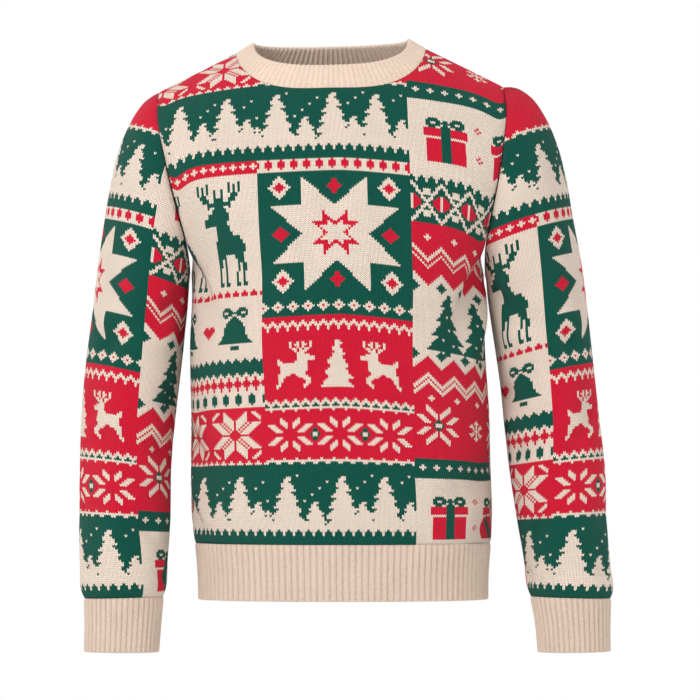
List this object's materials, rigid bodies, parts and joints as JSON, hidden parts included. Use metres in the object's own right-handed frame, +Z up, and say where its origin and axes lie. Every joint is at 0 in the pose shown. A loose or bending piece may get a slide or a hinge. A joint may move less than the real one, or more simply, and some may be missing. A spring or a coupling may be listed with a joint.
{
  "type": "knitted crew-neck sweater",
  "caption": "Long-sleeved jacquard-knit crew-neck sweater, filled out and hollow, with ribbed collar, cuffs and hem.",
  "frame": {"origin": "middle of the neck, level with the high point of the shoulders, where the wearer's neck and shoulders hold the sweater up", "axes": "+Z up along the body, -Y towards the front, +X towards the wearer's left sleeve"},
  "size_m": [0.65, 0.2554, 0.7455],
  "materials": {
    "body_knit": "matt two- and three-colour jacquard knit in cream, red and dark green",
    "sleeve_knit": "matt jacquard knit in cream, red and dark green",
    "collar_rib": "matt beige rib, folded double",
    "rib_knit": "matt beige two-by-two rib"
  },
  "bodies": {
    "root": {"front_panel": "body_knit", "back_panel": "body_knit", "sleeve_right": "sleeve_knit", "sleeve_left": "sleeve_knit", "collar": "collar_rib", "hem_rib_front": "rib_knit", "hem_rib_back": "rib_knit", "cuff_right": "rib_knit", "cuff_left": "rib_knit"}
  },
  "joints": []
}
